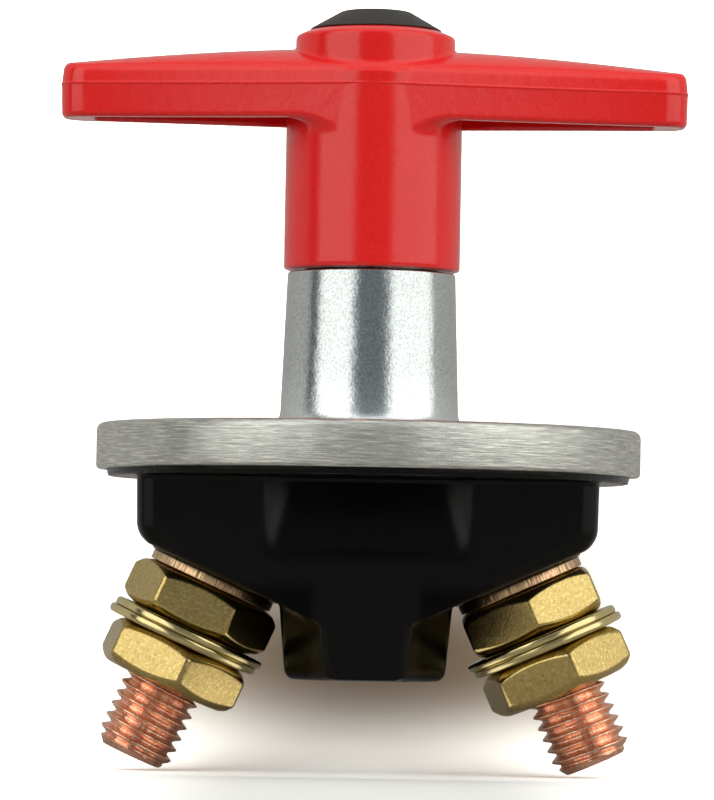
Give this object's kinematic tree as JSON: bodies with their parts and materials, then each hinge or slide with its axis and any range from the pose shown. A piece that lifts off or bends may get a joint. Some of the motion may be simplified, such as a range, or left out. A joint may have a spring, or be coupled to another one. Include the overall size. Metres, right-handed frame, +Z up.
{
  "type": "battery switch",
  "caption": "Battery isolator switch: red T handle on a round-flanged zinc neck, black case below and angled copper stud terminals with brass nuts and washers.",
  "frame": {"origin": "on the spindle's axis, level with the lowest edge of the stud ends", "axes": "+Z up along the spindle towards the handle, +X along the line of the two studs, to the right terminal; the picture looks along +Y"},
  "size_m": [0.0786, 0.068, 0.0952],
  "materials": {
    "red_paint": "gloss red paint over a die casting, fine orange peel",
    "cap_plastic": "matte dark grey moulded plastic",
    "zinc": "zinc casting, satin neck and a turned, brushed rim",
    "case_plastic": "glossy black thermoset moulding",
    "brass": "satin yellow plating with bright edges",
    "copper": "plain copper, lightly oxidised",
    "steel": "zinc-plated steel",
    "bronze": "sintered bronze",
    "rubber": "black nitrile rubber",
    "inner_plastic": "cream moulded insulator"
  },
  "bodies": {
    "base": {"housing": "zinc", "case_body": "case_plastic", "case_gasket": "rubber", "body_screw_1": "steel", "body_screw_2": "steel", "body_screw_3": "steel", "body_screw_4": "steel", "spindle_bush": "bronze", "stud_left": "copper", "collar_left": "copper", "lock_nut_left": "brass", "upper_washer_left": "brass", "lower_washer_left": "brass", "terminal_nut_left": "brass", "detent_ball_left": "steel", "detent_spring_left": "steel", "stud_right": "copper", "collar_right": "copper", "lock_nut_right": "brass", "upper_washer_right": "brass", "lower_washer_right": "brass", "terminal_nut_right": "brass", "detent_ball_right": "steel", "detent_spring_right": "steel", "return_spring": "steel"},
    "turning_handle": {"handle": "red_paint", "handle_cap": "cap_plastic", "handle_screw": "steel", "handle_screw_washer": "steel", "spindle": "steel", "spindle_seal": "rubber", "cam": "inner_plastic", "cam_circlip": "steel"},
    "contact_carriage": {"contact_carrier": "inner_plastic", "contact_bridge": "copper", "wave_washer": "steel", "spring_retainer": "steel"}
  },
  "joints": [
    {"name": "handle_turn", "type": "hinge", "parent": "base", "child": "turning_handle", "pos_m": [0, 0, 0.04304], "axis": [0, 0, 1], "range_deg": [0, 90]},
    {"name": "contact_lift", "type": "slide", "parent": "base", "child": "contact_carriage", "axis": [0, 0, 1], "range_m": [0, 0.0022], "deforming": ["return_spring"]}
  ],
  "couplings": [
    {"joint": "contact_lift", "follows": "handle_turn", "m_per_rad": 0.0014}
  ]
}
